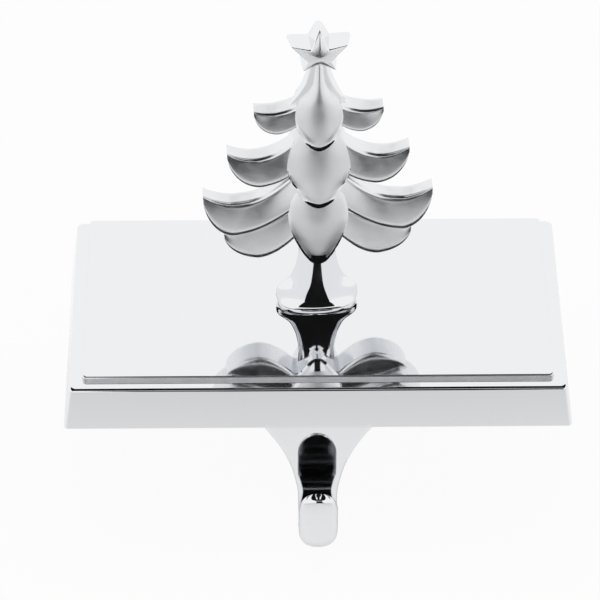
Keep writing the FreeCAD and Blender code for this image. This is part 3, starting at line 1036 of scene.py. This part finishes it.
# %% Which piece stands for which casting
for piece, node, slot in ((plinth, "base", "polished_chrome"), (hook, "base", "polished_chrome"),
                          (boughs_piece, "tree", "satin_chrome"), (petals_piece, "tree", "satin_chrome"),
                          (trunk_piece, "tree", "polished_chrome"), (felt_piece, "shelf_pad", "felt")):
    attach(piece, "root")
    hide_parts(node)
    print(piece.name, "replaces", node)
for node in ("tree_screw", "screw_washer"):
    for material_slot in bpy.data.objects[node].material_slots:
        material_slot.material = steel

# %% [markdown]
# ## Studio
#
# The room is what chrome shows, so it is built like a set. Behind and on both sides everything is white, and
# the plinth's top mirrors that. The ceiling is dark, and so is the aisle in front, where the camera
# is: both are dark sheets of painted shade. The ceiling draws the black line along every upper and lower
# edge. The aisle draws the stripe down the trunk and the soft grey middle of each petal, and the narrow gap of
# light between the two draws the thin white line under each bough's crease. Only reflections see the two dark
# places.

# %% Floor
floor_height = base_low[2] - 8.0 * MM
paper_white = 0.94
painted_light_start = -0.155
painted_light_end = -0.045
painted_light_strength = 0.27
matt = {"Roughness": 1.0, "Specular IOR Level": 0.0}


def floor_material():
    """Matt white paper: plain white to the camera, with a faint shadow, and a painted pool of light near the
    object that only reflections see.
    """
    material, tree, shader, place = start_material(
        "matt white paper with painted light", {"Base Color": linear("#E8E8E8"), **matt})
    path = add(tree, "ShaderNodeLightPath")
    white = add(tree, "ShaderNodeEmission", {"Color": (1, 1, 1, 1), "Strength": 1.0})
    share = add(tree, "ShaderNodeMath", {0: path.outputs["Is Camera Ray"], 1: paper_white},
                operation="MULTIPLY")
    mix = add(tree, "ShaderNodeMixShader", {0: share, 1: shader, 2: white})
    axes = add(tree, "ShaderNodeSeparateXYZ", {"Vector": place})
    # The painted pool of light: emission that rises towards the object and that only glossy rays see.
    near = add(tree, "ShaderNodeMapRange", {"Value": axes.outputs["Y"], "From Min": painted_light_start,
                                            "From Max": painted_light_end, "To Min": 0.0, "To Max": painted_light_strength})
    seen = add(tree, "ShaderNodeMath", {0: near, 1: path.outputs["Is Glossy Ray"]}, operation="MULTIPLY")
    glow = add(tree, "ShaderNodeEmission", {"Color": (1, 1, 1, 1), "Strength": seen})
    both = add(tree, "ShaderNodeAddShader", {0: mix, 1: glow})
    tree.links.new(both.outputs["Shader"], tree.nodes["Material Output"].inputs["Surface"])
    return material


def stage_sheet(name, rows, material):
    """A sheet through rows of (half width, y, z) in metres, symmetrical about the middle."""
    vertices = []
    for half, y, z in rows:
        vertices += [(-half, y, z), (half, y, z)]
    faces = [(2 * row, 2 * row + 1, 2 * row + 3, 2 * row + 2) for row in range(len(rows) - 1)]
    mesh = bpy.data.meshes.new(name)
    mesh.from_pydata(vertices, [], faces)
    sheet = make_object(name, mesh, (material,))
    return sheet


stage_sheet("floor", [(0.32, -0.32, floor_height), (0.32, 0.45, floor_height)], floor_material())
print("floor lies at %.1f mm" % (floor_height / MM))


# %% Sheet of painted shade
def painted_shade_sheet(fade_from, fade_to):
    """A dark sheet of painted shade that only reflections see, fading in over the floor between two distances
    in front of the object.
    """
    material, tree, shader, place = start_material("painted shade sheet", {"Base Color": linear("#1C1C1D"), **matt})
    axes = add(tree, "ShaderNodeSeparateXYZ", {"Vector": place})
    amount = add(tree, "ShaderNodeMapRange", {"Value": axes.outputs["Y"], "From Min": -fade_from,
                                              "From Max": -fade_to}, interpolation_type="SMOOTHSTEP")
    clear = add(tree, "ShaderNodeBsdfTransparent")
    mix = add(tree, "ShaderNodeMixShader", {0: amount, 1: clear, 2: shader})
    tree.links.new(mix.outputs["Shader"], tree.nodes["Material Output"].inputs["Surface"])
    return material


# %% Painted shade on the ceiling and in the aisle
# Angles in degrees as the object sees them, lengths in metres. On the ceiling the painted shade is dark all
# over.
ceiling_height = 1.3
ceiling_front = -ceiling_height / math.tan(math.radians(48.5))
ceiling_reach = ceiling_height / math.tan(math.radians(50))
ceiling = stage_sheet("ceiling", [(ceiling_reach, ceiling_front, ceiling_height),
                                  (ceiling_reach, ceiling_reach, ceiling_height)], painted_shade_sheet(-9.0, -8.0))
aisle_share = math.tan(math.radians(14))
aisle_start = 0.15
aisle_full = 0.25
aisle_end = 1.3
aisle_top = aisle_end * math.tan(math.radians(38.5))
aisle_widening = 1.3
aisle_turn = math.radians(5.0)
above_floor = 0.001
aisle = stage_sheet("aisle", [(aisle_share * aisle_start, -aisle_start, floor_height + above_floor),
                              (aisle_share * aisle_end, -aisle_end, floor_height + above_floor),
                              (aisle_share * aisle_end * aisle_widening, -aisle_end, aisle_top)],
                    painted_shade_sheet(aisle_start, aisle_full))
aisle.rotation_euler = (0.0, 0.0, aisle_turn)
for sheet in (ceiling, aisle):
    sheet.visible_camera = False
    sheet.visible_diffuse = False
    sheet.visible_transmission = False
    sheet.visible_shadow = False
print("ceiling from %.2f m in front, aisle up to %.2f m" % (-ceiling_front, aisle_top))


# %% Lamps
def soft_lamp(name, place, size, power):
    """A wide lamp that faces the object. Reflections don't show it, since the white room stands for it."""
    data = bpy.data.lights.new(name, "AREA")
    data.shape = "RECTANGLE"
    data.size, data.size_y = size
    data.energy = power
    lamp = make_object(name, data)
    lamp.location = Vector(place)
    lamp.rotation_euler = (-Vector(place)).to_track_quat("-Z", "Y").to_euler()
    lamp.visible_glossy = False


soft_lamp("overhead", (0.0, 0.1, 1.6), (1.2, 0.9), 7.0)
soft_lamp("left_side", (-1.5, -0.5, 0.9), (0.8, 1.2), 4.0)
soft_lamp("right_side", (1.5, -0.3, 0.7), (0.8, 1.2), 3.0)

# %% World: a white room to the camera and to reflections, and softer light on everything else
ambient_strength = 0.55
world = bpy.data.worlds.new("studio")
scene.world = world
world.use_nodes = True
room = world.node_tree
room.nodes.clear()
path = add(room, "ShaderNodeLightPath")
seen = add(room, "ShaderNodeMath", {0: path.outputs["Is Camera Ray"], 1: path.outputs["Is Glossy Ray"]},
           operation="MAXIMUM")
shown = add(room, "ShaderNodeMath", {0: seen, 1: path.outputs["Is Transmission Ray"]}, operation="MAXIMUM")
ambient = add(room, "ShaderNodeBackground", {"Color": (1, 1, 1, 1), "Strength": ambient_strength})
white_room = add(room, "ShaderNodeBackground", {"Color": (1, 1, 1, 1), "Strength": 1.0})
choice = add(room, "ShaderNodeMixShader", {0: shown, 1: ambient, 2: white_room})
add(room, "ShaderNodeOutputWorld", {"Surface": choice})
print("world nodes:", len(room.nodes))

# %% Finish
bpy.context.view_layer.update()
